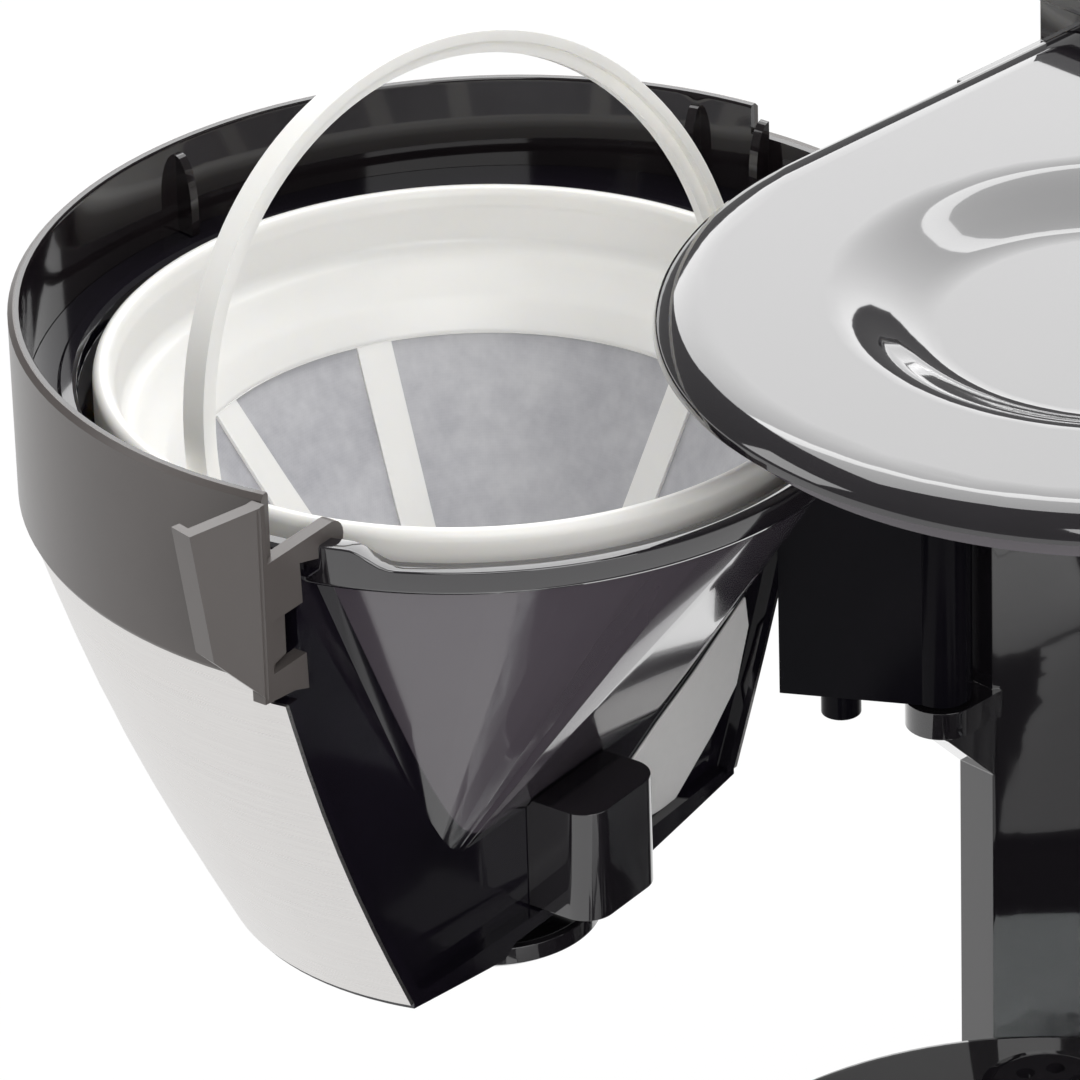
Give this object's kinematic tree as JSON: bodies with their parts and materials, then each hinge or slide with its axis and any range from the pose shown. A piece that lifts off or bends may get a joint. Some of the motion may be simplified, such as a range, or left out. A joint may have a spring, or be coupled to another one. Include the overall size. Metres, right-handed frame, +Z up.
{
  "type": "drip coffee maker",
  "caption": "Drip coffee maker with a filter basket that swings out to the side, a permanent filter with a bail, a glass jug on a hotplate and a flap over the rear tank.",
  "frame": {"origin": "the point of the standing surface under the brew axis, which is the axis of the shut basket and of the round top lid", "axes": "+Z up, -Y towards the front of the machine, +X to its right as seen from the front"},
  "size_m": [0.2536, 0.258, 0.3389],
  "materials": {
    "gloss_black": "polished moulded plastic",
    "inner_black": "moulded plastic, softly glossy",
    "band_grey": "satin lacquered plastic",
    "steel_cladding": "brushed along its length",
    "steel_parts": "bright drawn wire and turned pins",
    "white_plastic": "food-grade white plastic",
    "mesh": "fine woven nylon mesh",
    "grey_plastic": "smoke grey plastic",
    "natural_silicone": "soft silicone",
    "rubber": "moulded rubber",
    "aluminium": "cast and machined",
    "hotplate": "dark non-stick coating",
    "ceramic": "glazed ceramic",
    "lamp": "translucent red",
    "glass": "clear heat-proof glass"
  },
  "bodies": {
    "housing": {"base_shell": "gloss_black", "base_cover": "inner_black", "feet": "rubber", "cover_screws": "steel_parts", "plate_seal": "rubber", "hotplate": "hotplate", "heater": "aluminium", "thermostat": "ceramic", "cold_hose": "natural_silicone", "hot_hose": "natural_silicone", "riser_tube": "aluminium", "check_valve": "white_plastic", "cord_gland": "rubber", "switch_bezel": "gloss_black", "lamp_lens": "lamp", "rear_housing": "gloss_black", "hump_shell": "gloss_black", "tank": "grey_plastic", "head_tray": "inner_black", "spray_head": "inner_black", "feed_duct": "inner_black", "top_lid": "gloss_black", "hinge_pin": "steel_parts", "flap_pin": "steel_parts"},
    "basket": {"funnel": "inner_black", "band": "band_grey", "cladding": "steel_cladding", "hinge_arm": "inner_black", "valve_guard": "gloss_black", "filter_frame": "white_plastic", "filter_mesh": "mesh"},
    "bail": {"bail": "white_plastic"},
    "drip_stop": {"valve_foot": "gloss_black", "valve_seal": "natural_silicone", "valve_spring": "steel_parts"},
    "flap": {"tank_flap": "gloss_black"},
    "rocker": {"rocker": "gloss_black"},
    "jug": {"jug_glass": "glass", "jug_collar": "gloss_black", "jug_handle": "gloss_black", "collar_screw": "steel_parts", "lid_pin": "steel_parts"},
    "jug_lid": {"jug_lid": "gloss_black"}
  },
  "joints": [
    {"name": "basket_swing", "type": "hinge", "parent": "housing", "child": "basket", "pos_m": [-0.0728, 0.0357, 0.252], "axis": [0, 0, 1], "range_deg": [-30, 81]},
    {"name": "bail_fold", "type": "hinge", "parent": "basket", "child": "bail", "pos_m": [-0.10161, -0.04257, 0.2838], "axis": [-0.061, -0.9981, 0], "range_deg": [-40, 77.5]},
    {"name": "drip_stop_lift", "type": "slide", "parent": "basket", "child": "drip_stop", "axis": [0, 0, 1], "range_m": [0, 0.0035], "stiffness_N_per_m": 150, "springref_m": -0.003, "deforming": ["valve_spring"]},
    {"name": "flap_open", "type": "hinge", "parent": "housing", "child": "flap", "pos_m": [0, 0.119, 0.3261], "axis": [-1, 0, 0], "range_deg": [0, 100]},
    {"name": "switch_rock", "type": "hinge", "parent": "housing", "child": "rocker", "pos_m": [0.074, 0.046, 0.0225], "axis": [0, 1, 0], "range_deg": [-14, 0]},
    {"name": "jug_slide", "type": "slide", "parent": "housing", "child": "jug", "axis": [0, -1, 0], "range_m": [-0.018, 0.16]},
    {"name": "jug_lid_open", "type": "hinge", "parent": "jug", "child": "jug_lid", "pos_m": [0, -0.077, 0.147], "axis": [1, 0, 0], "range_deg": [0, 80]}
  ],
  "couplings": [
    {"joint": "bail_fold", "follows": "basket_swing", "ratio": 0.95062}
  ]
}
